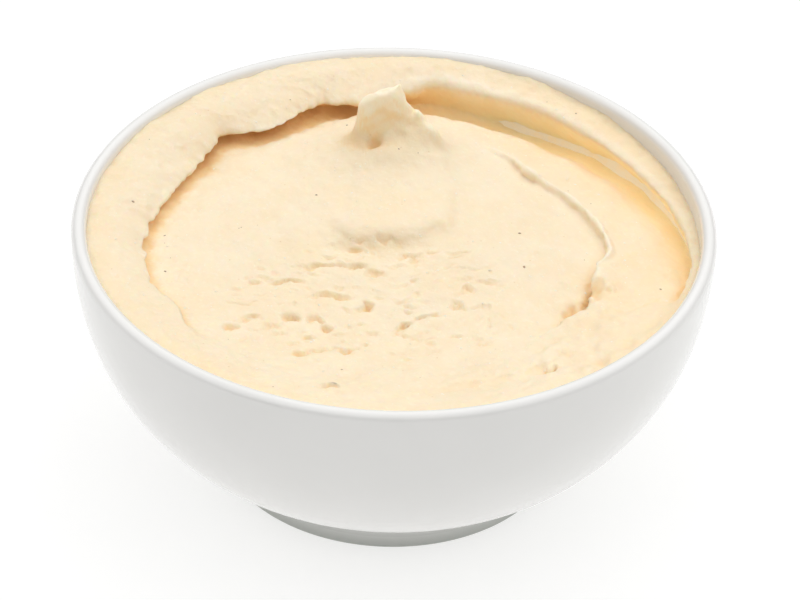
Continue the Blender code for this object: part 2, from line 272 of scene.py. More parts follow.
def bowl_section():
    """The half section, from the middle of the inside floor over the lip to the recess."""
    lean = np.linspace(0, np.pi / 2, 73)[:-1]
    inside = np.stack(
        [
            INSIDE_RADIUS * np.sin(lean) ** (2 / INSIDE_POWER),
            WIDEST_Z - INSIDE_DEPTH * np.cos(lean) ** (2 / INSIDE_POWER),
        ],
        axis=-1,
    )
    lip = arc(RIM_RADIUS - LIP_ROUND, WIDEST_Z, LIP_ROUND, 180, 0, 16)
    heights = WIDEST_Z + (FOOT_NECK_Z - WIDEST_Z) * np.linspace(0, 1, 65)[1:] ** BELLY_SPACING
    belly = np.stack([superellipse(RIM_RADIUS, BELLY_DEPTH, BELLY_POWER, heights), heights], axis=-1)
    inner_foot = FOOT_RADIUS - FOOT_RING_WIDTH
    neck_z = FOOT_NECK_Z - NECK_ROUND - NECK_SINK
    neck = arc(FOOT_NECK_RADIUS + NECK_ROUND, neck_z, NECK_ROUND, 95, 185, 4)
    foot = arc(FOOT_RADIUS - FOOT_ROUND, FOOT_ROUND, FOOT_ROUND, 0, -90, 6)
    inner = arc(inner_foot + FOOT_ROUND, FOOT_ROUND, FOOT_ROUND, -90, -180, 6)
    recess = arc(inner_foot - RECESS_INSET, FOOT_RECESS - RECESS_ROUND, RECESS_ROUND, 0, 90, 5)
    return np.concatenate([inside, lip, belly, neck, foot, inner, recess, [[0.0, FOOT_RECESS]]])


def turned(section, segments):
    """The surface swept by a section from axis to axis: (r cos a, r sin a, z), poles closed."""
    turn = 2 * np.pi * np.arange(segments) / segments
    rings = section[1:-1]
    x = rings[:, :1] * np.cos(turn)
    y = rings[:, :1] * np.sin(turn)
    z = np.broadcast_to(rings[:, 1:], x.shape)
    body = np.stack([x, y, z], axis=-1).reshape(-1, 3)
    ends = np.array([[0, 0, section[0, 1]], [0, 0, section[-1, 1]]])
    i, j = np.meshgrid(np.arange(len(rings) - 1), np.arange(segments), indexing="ij")
    k = (j + 1) % segments
    a, b, c, d = i * segments + j, i * segments + k, (i + 1) * segments + k, (i + 1) * segments + j
    halves = [np.stack([a, d, c], -1).reshape(-1, 3), np.stack([a, c, b], -1).reshape(-1, 3)]
    j = np.arange(segments)
    k = (j + 1) % segments
    first, last = len(body), len(body) + 1
    bottom = (len(rings) - 1) * segments
    fans = [
        np.stack([np.full_like(j, first), j, k], -1),
        np.stack([np.full_like(j, last), bottom + k, bottom + j], -1),
    ]
    return np.concatenate([body, ends]), np.concatenate([*halves, *fans])


print(f"The half section of the bowl has {len(bowl_section())} points.")


# %% [markdown]
# ## The hummus
# A spoon pressed the paste outward, so it climbs the wall as a raised rim and leaves a groove
# below the rim's lip. The radial section of that swirl changes slowly round the bowl. It could
# be sculpted, but five named points that are keyed by angle keep it readable. Each key gives
# a radius and a height, and a smooth curve through the points can turn under at the lip.

# %% Hummus section
# The gap to the wall is less than nothing, so that the paste reaches into it and no slit shows.
GAP = -0.9
FILM = 1.5
EDGE_SHARE = 0.025
MIDDLE_HEIGHT = 50.2
LIP_RADIUS = 46.0
SHOULDER = {
    1: (46.2, 45.2), 12: (44.6, 45.3), 23: (42.8, 45.4), 33: (41.4, 45.6), 42: (40.6, 45.8),
    51: (40.4, 46.1), 61: (41.4, 46.2), 75: (42, 46.4), 85: (42.4, 46.6), 95: (41.6, 46.8),
    110: (38, 47.2), 130: (36, 47.3), 160: (36, 47.4), 200: (36, 47.4), 235: (32, 47),
    270: (30, 46.7), 300: (32, 46.6), 325: (40, 46.4), 345: (49, 46),
}
FOOT = {
    0: (54.6, 42.2), 8: (54.2, 41.7), 20: (53.2, 41.4), 33: (53, 41), 45: (52.2, 40.6),
    55: (51, 40), 66: (50.4, 40.4), 78: (49.6, 41.8), 90: (47.8, 42.8), 99: (46, 44),
    110: (45.4, 45), 121: (42.9, 45.6), 131: (43.2, 45.8), 138: (46.9, 45.8), 150: (43.4, 46.3),
    165: (43.6, 46.5), 180: (45.4, 46.7), 195: (46.4, 46.9), 207: (46.4, 47.2), 218: (46, 47.8),
    235: (45, 48.2), 270: (46, 48.4), 300: (47, 48.2), 325: (48, 47.7), 340: (51, 46.8),
    350: (54.4, 44.8),
}
HOLLOW = {
    0: (57.4, 41.2), 12: (57.4, 40.2), 23: (57.4, 39.8), 45: (57.3, 39.4), 58: (57, 38.8),
    70: (56, 39.8), 82: (54.6, 42), 90: (51.8, 43.4), 99: (49.4, 45), 110: (48.8, 46.1),
    121: (46.6, 46.6), 131: (46.8, 46.8), 138: (49, 47), 150: (45.6, 47.2), 165: (45.4, 47.3),
    180: (47, 47.5), 195: (48, 47.7), 207: (48.2, 48), 218: (48, 48.6), 235: (48, 49),
    270: (49, 49.1), 300: (50, 48.9), 325: (51, 48.3), 340: (53.6, 47.4), 350: (56.8, 43.8),
}
NOSE = {
    0: (55.4, 46.6), 11: (54.2, 47), 20: (52.6, 47.4), 28: (51.6, 47.8), 42: (50.8, 48.2),
    54: (50.8, 48.7), 65: (50.4, 48.9), 72: (50.2, 48.9), 77: (50.8, 49), 80.5: (51.2, 49.1),
    83.5: (50.4, 49), 86: (48.6, 48.8), 89: (47.8, 48.7), 93: (46.4, 48.5), 99: (44.8, 48.3),
    107: (45.9, 48.4), 112: (45.2, 48.4), 116: (43.7, 48.4), 121: (42.3, 48.4),
    128: (42.7, 48.4), 133: (43.8, 48.5), 137: (46.8, 48.6), 141: (45.2, 48.5),
    146: (43.7, 48.4), 155: (43.5, 48.5), 166: (43.9, 48.5), 175: (45.1, 48.6),
    182: (46.1, 48.6), 192: (46.9, 48.7), 203: (47.4, 48.8), 211: (46, 49), 222: (48.5, 49.4),
    235: (50, 49.6), 270: (51.5, 49.7), 300: (52.3, 49.4), 325: (53.3, 48.7), 345: (55, 47.6),
}
CROWN = {
    0: (56, 47.2), 12: (56.1, 47.8), 27: (55.6, 48.6), 46: (55.4, 49.7), 60: (55.3, 50.3),
    75: (55, 50.9), 90: (53.4, 51.7), 110: (51.8, 52), 130: (51, 52), 150: (51, 51.7),
    180: (52, 51.2), 210: (53.3, 50.9), 240: (54.5, 50.4), 270: (55, 50.2), 300: (55.3, 49.8),
    330: (55.6, 49), 345: (55.9, 48),
}
EDGE_HEIGHT = {
    0: 47.5, 12: 47.9, 27: 48.3, 46: 50.2, 60: 50.9, 75: 51.2, 90: 51.3, 110: 51.2, 130: 51,
    150: 50.8, 180: 50.6, 210: 50.4, 240: 50, 270: 49.9, 300: 49.3, 330: 48.4, 345: 47.8,
}
CRUMBLE = {0: 0.15, 75: 0.25, 90: 0.9, 150: 1.1, 205: 1, 225: 0.3, 300: 0.2}
BARE = {340: 0, 347: 0.8, 356: 1, 5: 1, 25: 0.95, 40: 1.05, 58: 0.9, 70: 0.55, 80: 0}


def round_the_bowl(angle, keys):
    """A value that changes smoothly with the angle: a cubic through the keys, closed on itself."""
    degrees = np.array(sorted(keys), dtype=float)
    values = np.array([keys[d] for d in sorted(keys)], dtype=float)
    knots = np.concatenate([degrees[-2:] - 360, degrees, degrees[:2] + 360])
    heights = np.concatenate([values[-2:], values, values[:2]])
    slopes = np.gradient(heights, knots, axis=0)
    turn = np.degrees(angle) % 360
    left = np.searchsorted(knots, turn, side="right") - 1
    span = knots[left + 1] - knots[left]
    t = (turn - knots[left]) / span
    if values.ndim > 1:
        t, span = t[..., None], span[..., None]
    rise = heights[left + 1] - heights[left]
    return (
        heights[left]
        + rise * t * t * (3 - 2 * t)
        + span * slopes[left] * t * (1 - t) ** 2
        - span * slopes[left + 1] * t * t * (1 - t)
    )


def crumble(angle, seed):
    """In and out moves of a crumbly lip: two soft fields read along a circle of its radius."""
    x, y = LIP_RADIUS * np.cos(angle), LIP_RADIUS * np.sin(angle)
    return 0.34 * soft_field(x, y, 2.6, seed) + 0.24 * soft_field(x, y, 1.1, seed + 20)


def section_points(angle):
    """The named points of the section at each angle, from the middle to the wall."""
    edge_height = round_the_bowl(angle, EDGE_HEIGHT)
    middle = np.stack([np.zeros_like(angle), np.full_like(angle, MIDDLE_HEIGHT)], axis=-1)
    edge = np.stack([inside_wall(edge_height) - GAP, edge_height], axis=-1)
    named = [round_the_bowl(angle, keys) for keys in (SHOULDER, FOOT, HOLLOW, NOSE, CROWN)]
    uneven = round_the_bowl(angle, CRUMBLE)
    for point, seed in ((1, 5), (2, 6), (3, 7)):
        named[point][..., 0] += uneven * crumble(angle, seed)
    return np.stack([middle, *named, edge], axis=-2)


def section(angle, share):
    """Radius and height at a share of the way along the section: a Catmull-Rom curve.

    A span between two named points takes a part of the share in proportion to the square root
    of its length, and the slope at a point is that of the line between its neighbours.
    """
    points = section_points(angle)
    spans = np.sqrt(np.linalg.norm(np.diff(points, axis=-2), axis=-1))
    knots = np.concatenate([np.zeros((*angle.shape, 1)), np.cumsum(spans, axis=-1)], axis=-1)
    knots = knots / knots[..., -1:]
    slopes = np.empty_like(points)
    slopes[..., 1:-1, :] = (points[..., 2:, :] - points[..., :-2, :]) / (
        knots[..., 2:, None] - knots[..., :-2, None]
    )
    slopes[..., 0, :] = (points[..., 1, :] - points[..., 0, :]) / knots[..., 1, None]
    slopes[..., 0, 1] = 0.0
    slopes[..., -1, :] = (points[..., -1, :] - points[..., -2, :]) / (1 - knots[..., -2, None])
    left = np.clip((share[..., None] >= knots).sum(axis=-1) - 1, 0, points.shape[-2] - 2)

    def at(table, index):
        return np.take_along_axis(table, index[..., None, None], axis=-2)[..., 0, :]

    start = np.take_along_axis(knots, left[..., None], axis=-1)
    width = np.take_along_axis(knots, left[..., None] + 1, axis=-1) - start
    t = (share[..., None] - start) / width
    a, b = at(points, left), at(points, left + 1)
    return (
        a
        + (b - a) * t * t * (3 - 2 * t)
        + width * at(slopes, left) * t * (1 - t) ** 2
        - width * at(slopes, left + 1) * t * t * (1 - t)
    )


nose_radius = round_the_bowl(np.radians(np.arange(360.0)), NOSE)[:, 0]
print(f"The lip stands {nose_radius.min():.1f} to {nose_radius.max():.1f} mm from the middle.")

# %% [markdown]
# ## Ledges
# The spoon also left steps inside the swirl: the fold on the right, the flat print in the
# middle and a crease at the front. Each is a line with a high side that leans over a low side.
# One function draws them all, from the line's radius and the step's height round a centre.

# %% Ledges
# A step is its width, the length over which it fades, how ragged it is and how far it leans.
FOLD_RADIUS = {
    315: 38.7, 322: 39, 326: 40.4, 330: 41, 333: 40.6, 336: 40, 341: 39.2, 345: 38.6, 349: 38.4,
    354: 39.8, 1: 39.6, 12: 37.8, 23: 35.8, 33: 33.9, 41: 33.5, 52: 34.4, 65: 35,
}
FOLD_HEIGHT = {
    312: 0, 319: 2, 326: 4.6, 334: 5.2, 342: 5, 350: 3.6, 356: 2.2, 5: 1.5, 20: 1.1, 33: 0.9,
    39: 1.7, 45: 1.6, 52: 0.8, 62: 0, 90: 0, 270: 0,
}
FOLD_STEP = (2.8, 5.0, 0.6, 0.4)
CREST_HEIGHT = {
    338: 0, 348: 0.8, 358: 1.4, 15: 1.3, 30: 1.2, 45: 1.1, 60: 0.3, 66: 0, 90: 0, 270: 0,
}
CREST_WIDTH = 0.6
CREST_OFFSET = 0.7
DISC_CENTRE = (0.0, 13.0)
DISC_RADIUS = {
    12: 10.9, 44: 12.9, 90: 14, 150: 15, 200: 16, 227: 17.5, 239: 18.2, 255: 17.4, 270: 16.4,
    288: 15.7, 304: 15.3, 309: 15.9, 320: 14.2, 332: 12.8,
}
DISC_HEIGHT = {
    0: 0.9, 40: 0.6, 75: 0, 150: 0.2, 200: 0.6, 225: 1.4, 240: 3.8, 270: 4, 300: 3.2, 330: 1.6,
}
DISC_STEP = (4.6, 7.0, 0.3, 0.05)
CREASE_RADIUS = {
    240: 51, 258: 50.3, 267: 49.9, 278: 48.2, 282: 47.3, 287: 46.6, 296: 46.8, 300: 47.5,
    304: 46.8, 307: 47.3, 315: 44.5, 330: 43,
}
CREASE_HEIGHT = {
    90: 0, 245: 0, 256: 0.9, 260: 1.3, 266: 0.9, 278: 1.2, 288: 1.6, 296: 1.5, 303: 2.2,
    307: 1.9, 315: 1.3, 322: 0,
}
CREASE_STEP = (3.2, 4.0, 0.8, 0.2)


def ledge(x, y, centre, radius_keys, height_keys, outside_is_high, step_sizes):
    """Moves to add for a ledge: the high side leans over the low side along the line.

    Across the line the height is a smooth step that fades away on both sides, and the lean is
    one wave of a sine over the same step. A soft field makes the line ragged.
    """
    width, fade, ragged, lean_share = step_sizes
    dx, dy = x - centre[0], y - centre[1]
    distance = np.hypot(dx, dy) + 1e-9
    around = np.arctan2(dy, dx)
    strength = np.maximum(round_the_bowl(around, height_keys), 0.0)
    side = 1.0 if outside_is_high else -1.0
    wander = ragged * (soft_field(x, y, 2.6, 11) + 0.5 * soft_field(x, y, 1.1, 12))
    across = side * (distance - round_the_bowl(around, radius_keys)) + wander
    step = 1 / (1 + np.exp(-4 * across / width))
    lift = strength * (step - 0.5) * np.exp(-np.abs(across) / fade)
    wave = np.sin(2 * np.pi * (step - 0.5)) * np.exp(-np.abs(across))
    lean = -side * lean_share * strength * wave
    return np.stack([lean * dx / distance, lean * dy / distance, lift], axis=-1)


def crest(x, y):
    """The thin ridge along the inner edge of the channel: height x exp(-(across / width)^2)."""
    around = np.arctan2(y, x)
    across = np.hypot(x, y) - round_the_bowl(around, FOLD_RADIUS) - CREST_OFFSET
    height = np.maximum(round_the_bowl(around, CREST_HEIGHT), 0.0)
    return height * np.exp(-((across / CREST_WIDTH) ** 2))


print(f"The fold is up to {max(FOLD_HEIGHT.values())} mm high, the print {max(DISC_HEIGHT.values())} mm.")

# %% [markdown]
# ## Peak
# Lifting the spoon drew the paste up to a blunt tower with a rounded knob and ribs that run
# down to the right. Real peaks are stringy and uneven, and a few overlapping mounds with their
# own steepness and lean give that, where one cone would look turned.

# %% Peak
# Skirt, tower, knob, three ribs and the cave at the foot, each with its offset, half sizes,
# turn in degrees, steepness, height and the lean of its top.
PEAK = (-0.6, 28.0)
PEAK_PARTS = (
    ((0.4, -1.6), (8.8, 7.4), 0, 3.0, 4.8, (0.0, 0.0)),
    ((-2.7, 0.2), (4.4, 3.1), 0, 9.0, 8.8, (-0.3, -0.4)),
    ((0.1, 0.0), (2.8, 2.4), 0, 3.5, 1.2, (0.7, -0.5)),
    ((3.0, -0.4), (2.6, 2.4), -20, 4.0, 3.2, (0.0, -0.3)),
    ((6.6, -1.2), (2.8, 2.4), -24, 5.0, 3.0, (0.0, -0.2)),
    ((8.4, -5.4), (1.8, 4.4), 8, 4.0, 0.6, (0.0, 0.0)),
    ((-3.4, -4.3), (1.3, 0.8), 6, 4.0, -2.2, (0.0, 0.3)),
)


def mound(x, y, centre, size, turn, power):
    """1 / (1 + reach^power): 1 at the centre, 0 far out, with steeper flanks as power grows."""
    across, along = x - centre[0], y - centre[1]
    cos, sin = np.cos(np.radians(turn)), np.sin(np.radians(turn))
    right, back = across * cos + along * sin, along * cos - across * sin
    reach = np.hypot(right / size[0], back / size[1])
    return 1 / (1 + reach**power)


def peak(x, y):
    """Moves that the drawn-up peak adds: the sum of each part's share x (lean, height)."""
    moves = np.zeros((*x.shape, 3))
    for offset, size, turn, power, height, lean in PEAK_PARTS:
        share = mound(x, y, (PEAK[0] + offset[0], PEAK[1] + offset[1]), size, turn, power)
        moves += share[..., None] * np.array([lean[0], lean[1], height])
    return moves


BARE_DEPTH = 1.6
BARE_HEIGHT = 1.7
STREAK_DEPTH = 0.3


def film(angle, height):
    """How thick the hummus stays on the wall: thin, and less than nothing where it is bare."""
    bare = np.maximum(round_the_bowl(angle, BARE), 0.0)
    drop = height - round_the_bowl(angle, HOLLOW)[..., 1]
    turn = np.degrees(angle)
    streak = soft_field(turn, height, 5.0, 31) + soft_field(turn, height, 1.6, 32)
    band = bare * BARE_DEPTH * np.exp(-((drop / BARE_HEIGHT) ** 2))
    return FILM - band + STREAK_DEPTH * streak


def surface(angle, share):
    """The hummus's top as points (..., 3): the section, its ledges, its peak and its crest."""
    radius, height = np.moveaxis(section(angle, share), -1, 0)
    kept = np.clip((1 - share) / EDGE_SHARE, 0, 1)
    radius = np.minimum(radius, inside_wall(height) - GAP - film(angle, height) * kept)
    x, y = radius * np.cos(angle), radius * np.sin(angle)
    moves = (
        ledge(x, y, (0.0, 0.0), FOLD_RADIUS, FOLD_HEIGHT, True, FOLD_STEP)
        + ledge(x, y, DISC_CENTRE, DISC_RADIUS, DISC_HEIGHT, False, DISC_STEP)
        + ledge(x, y, (0.0, 0.0), CREASE_RADIUS, CREASE_HEIGHT, False, CREASE_STEP)
        + peak(x, y)
    )
    moves[..., 2] += crest(x, y)
    return np.stack([x, y, height], axis=-1) + moves


print(f"{len(PEAK_PARTS)} mounds make the peak.")

# %% [markdown]
# ## Tears and roughness
# Where the spoon dragged, the stiff paste tore into short slits whose far edge stands up
# sharply. They could be painted, but real dents catch the light, so they are made in the mesh.
# The roughness is soft waves, grain and streaks, pushed out along the surface's own normals.

# %% Tears and roughness
# A tear is its place, half length, half width, turn in degrees and depth.
TEARS = (
    (-19.8, -15.5, 2.4, 0.8, 5, 0.7), (-14.2, -10.6, 1.6, 0.8, 0, 0.7),
    (-10.6, -10.4, 2.2, 0.7, 8, 0.7), (-6.6, -10.6, 1.4, 0.9, -6, 1.0),
    (-10.8, -18.6, 3.2, 0.7, -6, 0.8), (-4.4, -21.4, 1.3, 0.9, -25, 1.2),
    (-25.5, -25, 1.4, 0.7, 12, 0.7), (-28.8, -28.2, 1.0, 1.0, -30, 0.8),
    (-21.4, -27, 1.9, 0.6, 8, 0.4), (-18.1, -24.6, 1.7, 0.9, 0, 0.9),
    (-13.6, -25.4, 1.2, 0.8, -45, 0.9), (-11.9, -27.6, 0.9, 0.9, -30, 0.9),
    (-16, -35.6, 1.5, 0.8, 12, 1.0), (-12.6, -34.9, 2.4, 0.6, 8, 0.6),
    (-8.6, -34.4, 1.8, 0.8, 20, 0.9), (2.4, -26.4, 2.0, 0.7, 32, 0.9),
    (6.2, -24.2, 2.6, 0.7, 26, 0.8), (12.3, -20.6, 1.5, 0.6, -55, 0.7),
    (12.1, -6.2, 2.0, 0.5, 4, 0.4), (18, -13.6, 2.0, 0.5, -10, 0.4),
    (3.4, -7.6, 1.8, 0.7, -38, 0.6), (-3.9, -12.2, 2.0, 0.6, -10, 0.5),
    (-25.5, -32.6, 1.5, 0.5, 10, 0.35), (4.4, -29.8, 1.3, 0.5, 0, 0.35),
    (-10.6, -47.6, 1.6, 0.7, -8, 0.8), (36.2, -14.8, 3.4, 2.6, 76, 1.1),
    (32.2, -19, 1.8, 1.6, 60, 1.0), (28.6, -39.4, 1.4, 0.8, 15, 0.9),
)
SMALL_TEARS = 240
TEAR_DEPTH = 1.35
TEAR_ZONE = ((-3.0, -20.0), (27.0, 17.0))


def small_tears():
    """Short shallow tears scattered over the stretch that the spoon dragged."""
    draw = np.random.default_rng(8)
    turn, reach = draw.uniform(0, 2 * np.pi, SMALL_TEARS), np.sqrt(draw.uniform(0, 1, SMALL_TEARS))
    x = TEAR_ZONE[0][0] + TEAR_ZONE[1][0] * reach * np.cos(turn)
    y = TEAR_ZONE[0][1] + TEAR_ZONE[1][1] * reach * np.sin(turn)
    long, wide = draw.uniform(0.5, 1.6, SMALL_TEARS), draw.uniform(0.22, 0.5, SMALL_TEARS)
    slant, depth = draw.normal(4, 16, SMALL_TEARS), draw.uniform(0.08, 0.42, SMALL_TEARS)
    return np.stack([x, y, long, wide, slant, depth], axis=-1)


def torn(x, y, marks):
    """Height to add for torn marks, and how far each point lies inside one.

    Along a mark the depth is exp(-(u / a)^4). Across it, with t = v / b, the depth is
    exp(-t^2) on the near side and exp(-(3 t)^2) on the far side, so that the far wall is
    steep, and a low lip of a fifth of the depth stands beyond it.
    """
    height, open_share = np.zeros_like(x), np.zeros_like(x)
    wander = 0.9 * soft_field(x, y, 1.9, 41) + 0.4 * soft_field(x, y, 0.8, 42)
    for mark_x, mark_y, long, wide, turn, depth in marks:
        cos, sin = np.cos(np.radians(turn)), np.sin(np.radians(turn))
        u = ((x - mark_x) * cos + (y - mark_y) * sin + 0.6 * wander) / long
        t = ((y - mark_y) * cos - (x - mark_x) * sin + wander) / (wide * (0.85 + 0.4 * wander))
        pit = np.exp(-np.where(t > 0, 3 * t, t) ** 2)
        lip = 0.22 * np.exp(-((t - 1.3) ** 2) * 2)
        length = np.exp(-(u**4))
        height += depth * length * (lip - pit)
        open_share = np.maximum(open_share, np.minimum(depth, 1.0) * length * pit)
    return height, open_share


def normals_of(points, faces):
    """Unit normals at the points: the sum of the normals of the faces that meet there."""
    a, b, c = (points[faces[:, k]] for k in range(3))
    normal = np.cross(b - a, c - a)

    def total(values):
        return sum(np.bincount(faces[:, k], values, len(points)) for k in range(3))

    summed = np.stack([total(normal[:, axis]) for axis in range(3)], axis=-1)
    return summed / (np.linalg.norm(summed, axis=1)[:, None] + 1e-12)


def roughness_height(points):
    """Uneven heights: soft waves, lumps, grain, and streaks that follow the spoon round the bowl."""
    x = points[:, 0] + 0.8 * points[:, 2]
    y = points[:, 1] + 0.6 * points[:, 2]
    radius = np.hypot(points[:, 0], points[:, 1])
    around = np.degrees(np.arctan2(points[:, 1], points[:, 0])) % 360
    waves = 0.30 * soft_field(x, y, 7.5, 51) + 0.16 * soft_field(x, y, 3.2, 52)
    grain = 0.075 * soft_field(x, y, 1.5, 53) + 0.045 * soft_field(x, y, 0.8, 54)
    round_way = 0.8 * around
    streak = soft_field(round_way, radius, 1.5, 55) + 0.6 * soft_field(round_way, radius, 0.8, 56)
    outer = ease(radius, 36, 42)
    lumpy = ease(around, 292, 305) * (1 - ease(around, 325, 335)) * ease(radius, 39, 43)
    tower = mound(points[:, 0], points[:, 1], PEAK, (6.5, 5.0), 0, 6)
    crossing = x - 1.9 * points[:, 2]
    return (
        waves
        + grain
        + 0.12 * outer * streak
        + 0.5 * lumpy * soft_field(x, y, 2.4, 57)
        + 0.26 * tower * (soft_field(x, y, 1.8, 58) + soft_field(crossing, y, 1.8, 59))
    )


print(f"{len(TEARS)} tears and {SMALL_TEARS} small ones lie where the spoon dragged.")


# %% [markdown]
# ## Hollows
# The paste looks deeper in colour inside a groove and paler on an edge, as light bounces and
# soaks in, and here both are painted into its colour: painted shade in the grooves and painted
# light on the edges. How far each point lies below its surroundings is measured on a height
# map, and the finish reads it. A third share marks the groove under the lip, where light comes
# through, and there the finish glows as painted light.

# %% Hollows
MAP_CELL = 0.6
# Painted light: the finish glows where light would pass through the paste, under the far lip and in the
# peak.
PEAK_GLOW = 0.6
GLOW = {
    0: 0.55, 20: 0.95, 45: 1, 62: 0.65, 78: 0.5, 88: 0.45, 97: 0.3, 112: 0.2, 200: 0.2, 225: 0,
    320: 0, 345: 0.2,
}
# How strongly the painted shade shows at each angle round the bowl.
SHADE_TINT_STRENGTH = {
    0: 0.15, 40: 0.1, 76: 0.15, 92: 0.85, 120: 1, 215: 1, 300: 1, 325: 0.9, 345: 0.6,
}


def smoothed(values, reach):
    """Blur of a square map: three passes of a mean over a window, along both ways."""
    window = np.ones(2 * reach + 1) / (2 * reach + 1)
    for _ in range(3):
        for axis in (0, 1):
            values = np.apply_along_axis(np.convolve, axis, values, window, "same")
    return values


def light_through(points):
    """How much light comes through, from 0 to 1: in the groove below the far lip, and in the peak."""
    # The finish turns this share into a warm glow: painted light.
    around = np.arctan2(points[:, 1], points[:, 0])
    radius = np.hypot(points[:, 0], points[:, 1])
    foot, lip = (round_the_bowl(around, keys) for keys in (FOOT, NOSE))
    below = 1 - ease(points[:, 2], lip[:, 1] - 1.6, lip[:, 1] + 0.1)
    outside = ease(radius - foot[:, 0], -5.0, -1.0)
    in_peak = PEAK_GLOW * ease(points[:, 2], 51.8, 56)
    return np.maximum(outside * below * round_the_bowl(around, GLOW), in_peak)


def shade_and_light_shares(points, normals):
    """Two numbers from 0 to 1: how far a point lies in a hollow, and how far it stands proud.

    The first grows with the drop from the smoothed upper surface, over a wide and a narrow
    window, and with cover above points that face downward; it is painted shade, weighted by
    angle, with a little more in the channel and near the wall. The second grows with the rise
    above the narrow window; it is painted light that makes raised edges paler.
    """
    size = int(2 * RIM_RADIUS / MAP_CELL) + 2
    column = ((points[:, :2] + RIM_RADIUS) / MAP_CELL).astype(int)
    roof = np.zeros((size, size))
    np.maximum.at(roof, (column[:, 0], column[:, 1]), points[:, 2])
    filled = (roof > 0).astype(float)
    drops = []
    for reach in (4, 2):
        level = smoothed(roof, reach) / np.maximum(smoothed(filled, reach), 1e-6)
        drops.append(level[column[:, 0], column[:, 1]] - points[:, 2])
    tower = mound(points[:, 0], points[:, 1], (PEAK[0] - 0.4, PEAK[1]), (7.5, 5.5), 0, 8)
    open_ground = 0.42 * ease(drops[0], 0.1, 6.0) + 0.5 * ease(drops[1], 0.06, 1.1)
    covered = ease(roof[column[:, 0], column[:, 1]] - points[:, 2], 0.4, 2.0)
    facing_down = 1 - ease(normals[:, 2], -0.1, 0.35)
    around = np.arctan2(points[:, 1], points[:, 0])
    radius = np.hypot(points[:, 0], points[:, 1])
    past_crest = ease(radius - round_the_bowl(around, FOLD_RADIUS), 0.5, 4)
    channel = past_crest * ease(np.cos(around - np.radians(12)), 0.45, 0.8)
    # Painted shade: the colour deepens in hollows, under cover, in the channel past the crest and near the
    # wall.
    hollow = (
        (open_ground * (1 - 0.9 * tower) + 0.4 * covered * facing_down)
        * round_the_bowl(around, SHADE_TINT_STRENGTH)
        + 0.13 * channel
        + 0.10 * ease(radius, 51, 56.5)
    )
    return np.clip(hollow, 0, 1), ease(-drops[1], 0.2, 1.1)


print(f"The height map has {int(2 * RIM_RADIUS / MAP_CELL) + 2} cells a side.")

# %% [markdown]
# ## Net
# A disc of rings with six more points on each ring has triangles of one size from the middle
# to the wall, where a turned grid would bunch up in the middle. The rings are spaced evenly
# along the section, so the lip gets its share, and the net is drawn together at the peak.

# %% Net
SECTORS = 6
DIRECTIONS = 720
PROFILE_STEPS = 500
PEAK_CROWDING = 0.45
RINGS = 168
SIDE_RINGS = 8
SIDE_START = 0.10
SIDE_DROP = 2.0
# Where the painted shade of the cave at the peak's foot lies.
CAVE_SHADE_OFFSET = (-3.4, -4.4)
CAVE_SHADE_SIZE = (1.4, 0.9)


def even_shares(rings):
    """The share at each ring for each direction, so that the rings are evenly spaced."""
    angle = np.linspace(-np.pi, np.pi, DIRECTIONS + 1)
    share = np.linspace(0, 1, PROFILE_STEPS + 1)
    points = surface(*np.meshgrid(angle, share, indexing="ij"))
    length = np.cumsum(np.linalg.norm(np.diff(points, axis=1), axis=-1), axis=1)
    length = np.concatenate([np.zeros((len(angle), 1)), length], axis=1)
    even = np.linspace(0, 1, rings + 1)
    return np.array([np.interp(even, row / row[-1], share) for row in length])


def disc_net(rings):
    """A net of triangles on a disc: ring i has 6 i points, so that all triangles are alike."""
    ring = np.repeat(np.arange(rings + 1), [1] + [SECTORS * i for i in range(1, rings + 1)])
    first = np.concatenate([[0], 1 + np.cumsum([0] + [SECTORS * i for i in range(1, rings)])])
    place = np.arange(len(ring)) - first[ring]
    turn = 2 * np.pi * place / np.maximum(SECTORS * ring, 1)
    outer = np.arange(1, rings + 1)
    i = np.repeat(outer, SECTORS * outer)
    p = np.arange(len(i)) - (first[i] - 1)
    sector, j = np.divmod(p, i)

    def point(on_ring, number):
        return first[on_ring] + number % np.maximum(SECTORS * on_ring, 1)

    upward = np.stack([point(i - 1, sector * (i - 1) + j), point(i, p), point(i, p + 1)], axis=-1)
    inner = j < i - 1
    a, q = i[inner], p[inner]
    back = sector[inner] * (a - 1) + j[inner]
    downward = np.stack([point(a - 1, back), point(a, q + 1), point(a - 1, back + 1)], axis=-1)
    return ring, turn, np.concatenate([upward, downward])


def side_points(edge):
    """Rings from the edge down the wall to the middle of the floor."""
    angle = np.arctan2(edge[:, 1], edge[:, 0])
    depth = WIDEST_Z - edge[:, 2]
    bottom = INSIDE_DEPTH - GAP
    rings = []
    for step in range(1, SIDE_RINGS + 1):
        lean = np.pi / 2 * (1 - SIDE_START - (1 - SIDE_START) * step / (SIDE_RINGS + 1))
        down = np.maximum(bottom * np.cos(lean) ** (2 / INSIDE_POWER), depth + SIDE_DROP * step)
        radius = superellipse(INSIDE_RADIUS - GAP, bottom, INSIDE_POWER, WIDEST_Z - down)
        around = [radius * np.cos(angle), radius * np.sin(angle), WIDEST_Z - down]
        rings.append(np.stack(around, axis=-1))
    return np.concatenate(rings + [[[0.0, 0.0, WIDEST_Z - bottom]]])


def side_triangles(first, around):
    """Two triangles a cell between each ring and the next, and a fan to the last point."""
    j = np.arange(around)
    k = (j + 1) % around
    faces = []
    for ring in range(SIDE_RINGS):
        upper, lower = first + ring * around, first + (ring + 1) * around
        faces.append(np.stack([upper + j, lower + j, lower + k], axis=-1))
        faces.append(np.stack([upper + j, lower + k, upper + k], axis=-1))
    last = first + SIDE_RINGS * around
    faces.append(np.stack([last + j, np.full_like(j, last + around), last + k], axis=-1))
    return np.concatenate(faces)


